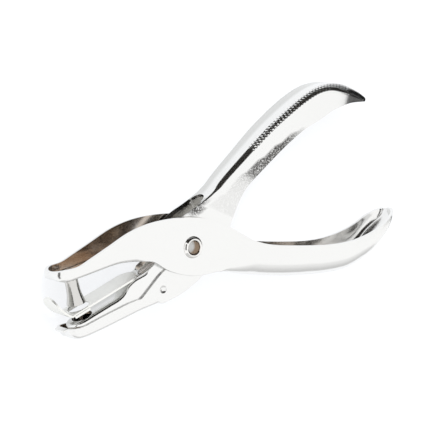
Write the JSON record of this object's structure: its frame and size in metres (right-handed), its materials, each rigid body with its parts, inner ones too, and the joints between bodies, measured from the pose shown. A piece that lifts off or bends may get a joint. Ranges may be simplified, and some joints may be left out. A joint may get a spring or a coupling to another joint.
{
  "type": "hole punch plier",
  "caption": "Hole-punch plier of bright plated sheet steel: crossing channel levers on a hollow rivet, flared punch pin, paper guide, return spring and swing-open chip tray.",
  "frame": {"origin": "centre of the hollow rivet, in the tool's middle plane", "axes": "+Z along the rivet's axis, out of the side that faces up as it lies; the jaws point to -X and the lower handle to +X, with the upper handle on the +Y side"},
  "size_m": [0.1367, 0.0775, 0.0138],
  "materials": {
    "plated_steel": "polished",
    "spring_steel": "satin"
  },
  "bodies": {
    "upper_jaw_half": {"upper_jaw_lever": "plated_steel", "pivot_rivet": "plated_steel", "punch_pin": "plated_steel", "return_spring": "spring_steel"},
    "lower_jaw_half": {"lower_jaw_lever": "plated_steel", "paper_guide": "plated_steel"},
    "tray": {"chip_tray": "plated_steel"}
  },
  "joints": [
    {"name": "squeeze", "type": "hinge", "parent": "upper_jaw_half", "child": "lower_jaw_half", "pos_m": [0, 0, 0], "axis": [0, 0, -1], "range_deg": [0, 8.8], "stiffness_Nm_per_rad": 1.5, "springref_deg": -17.19, "deforming": ["return_spring"]},
    {"name": "tray_swing", "type": "hinge", "parent": "lower_jaw_half", "child": "tray", "pos_m": [0, 0, 0], "axis": [0, 0, 1], "range_deg": [0, 60]}
  ]
}
